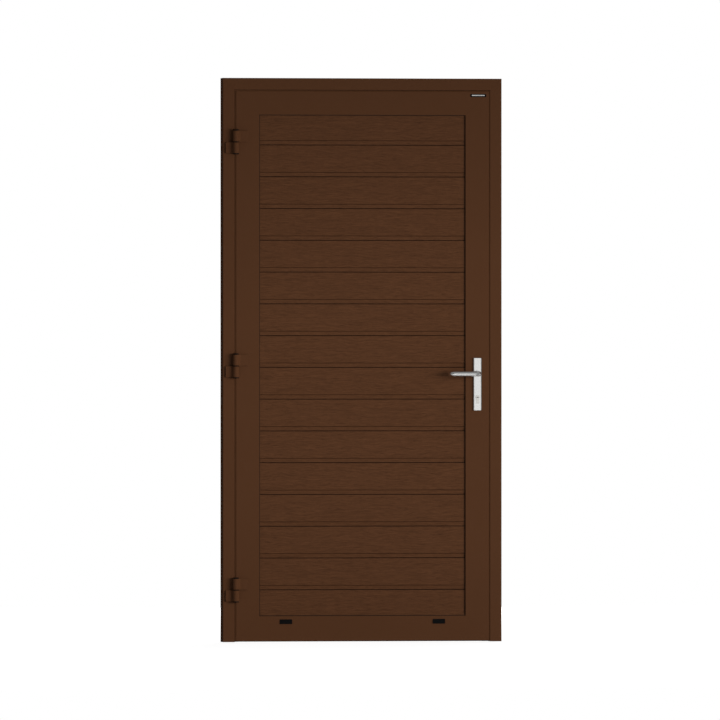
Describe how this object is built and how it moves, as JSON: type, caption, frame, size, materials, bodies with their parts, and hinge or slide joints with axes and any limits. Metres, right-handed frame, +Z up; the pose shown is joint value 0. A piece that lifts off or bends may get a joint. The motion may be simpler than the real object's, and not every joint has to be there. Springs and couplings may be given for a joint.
{
  "type": "utility door",
  "caption": "Outward-opening aluminium utility door: ribbed infill in a mitred leaf, hung on surface hinges in a three-sided frame, with a lever handle on a long plate.",
  "frame": {"origin": "on the wall-side face of the hinge jamb, at floor level and at half the frame's depth", "axes": "+X from the hinge side to the lock side, +Y from the outside to the inside, +Z up"},
  "size_m": [1.1, 0.181, 2.2],
  "materials": {
    "frame_paint": "satin powder coat",
    "leaf_paint": "satin powder coat",
    "infill_paint": "satin paint over a fine horizontal wood-grain emboss",
    "hinge_paint": "satin powder coat",
    "handle_metal": "satin anodised",
    "cylinder_nickel": "satin nickel",
    "lock_steel": "brushed",
    "seal_rubber": "matte",
    "black_plastic": "matte"
  },
  "bodies": {
    "frame": {"hinge_jamb": "frame_paint", "lock_jamb": "frame_paint", "head": "frame_paint", "strike_plate": "lock_steel", "frame_seal_hinge_side": "seal_rubber", "frame_seal_lock_side": "seal_rubber", "frame_seal_head": "seal_rubber", "bottom_hinge_frame_half": "hinge_paint", "bottom_hinge_pin": "black_plastic", "middle_hinge_frame_half": "hinge_paint", "middle_hinge_pin": "black_plastic", "top_hinge_frame_half": "hinge_paint", "top_hinge_pin": "black_plastic"},
    "leaf": {"hinge_stile": "leaf_paint", "lock_stile": "leaf_paint", "top_rail": "leaf_paint", "bottom_rail": "leaf_paint", "floor_seal": "seal_rubber", "slot_cover_hinge_side": "black_plastic", "slot_cover_lock_side": "black_plastic", "infill_section_1": "infill_paint", "infill_section_2": "infill_paint", "infill_section_3": "infill_paint", "infill_section_4": "infill_paint", "glazing_bead_hinge": "leaf_paint", "glazing_bead_lock": "leaf_paint", "glazing_bead_top": "leaf_paint", "glazing_bead_bottom": "leaf_paint", "outer_glazing_seal": "seal_rubber", "inner_glazing_seal": "seal_rubber", "lock_case": "lock_steel", "lock_faceplate": "lock_steel", "latch_bolt": "lock_steel", "dead_bolt": "lock_steel", "lock_cylinder": "cylinder_nickel", "outside_backplate": "handle_metal", "inside_backplate": "handle_metal", "bottom_hinge_leaf_half": "hinge_paint", "middle_hinge_leaf_half": "hinge_paint", "top_hinge_leaf_half": "hinge_paint"},
    "handle": {"outside_lever": "handle_metal", "inside_lever": "handle_metal", "spindle": "lock_steel"}
  },
  "joints": [
    {"name": "leaf_swing", "type": "hinge", "parent": "frame", "child": "leaf", "pos_m": [0.0485, -0.05, 1.1], "axis": [0, 0, -1], "range_deg": [0, 170]},
    {"name": "lever_turn", "type": "hinge", "parent": "leaf", "child": "handle", "pos_m": [1.004, -0.0065, 1.046], "axis": [0, -1, 0], "range_deg": [0, 40], "stiffness_Nm_per_rad": 1.5, "springref_deg": -34.38}
  ]
}
